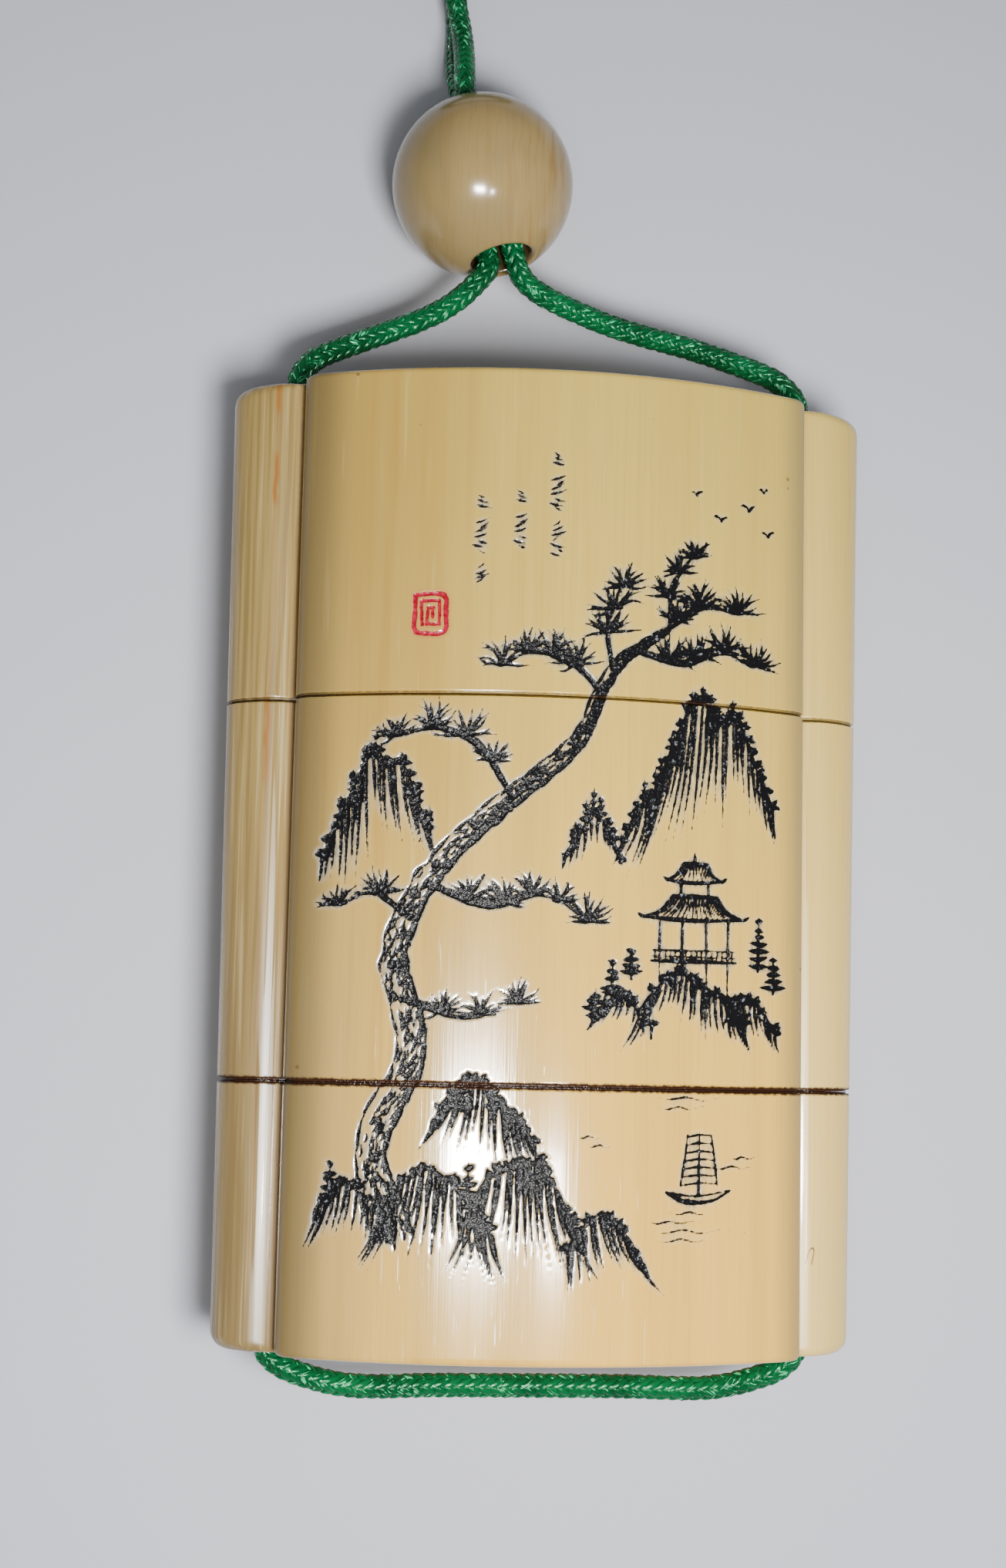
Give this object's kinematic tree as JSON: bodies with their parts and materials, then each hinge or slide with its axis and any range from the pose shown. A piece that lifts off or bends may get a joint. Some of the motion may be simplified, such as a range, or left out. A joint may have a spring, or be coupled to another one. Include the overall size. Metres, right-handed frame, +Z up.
{
  "type": "inro case",
  "caption": "Small flat sectional case with a lid and stacked hollow cases strung on a looped cord with a round sliding bead.",
  "frame": {"origin": "on the surface that the case lies on, under the middle of the case, at the flat strip of its back", "axes": "+X across the case, +Y along it from the lower case towards the lid and the bead, +Z up, out of the decorated front"},
  "size_m": [0.0558, 0.161, 0.0226],
  "materials": {
    "ivory": "polished ivory colour with upright grain, black inlaid line engraving and brown age stains",
    "bead_ivory": "polished, tan, with fine grain lines",
    "green_cord": "bright green glossy round braid"
  },
  "bodies": {
    "root": {"lid": "ivory", "upper_case": "ivory", "lower_case": "ivory", "sliding_bead": "bead_ivory", "cord_through_case": "green_cord", "cord_strand_left": "green_cord", "cord_strand_right": "green_cord", "cord_coil": "green_cord"}
  },
  "joints": []
}
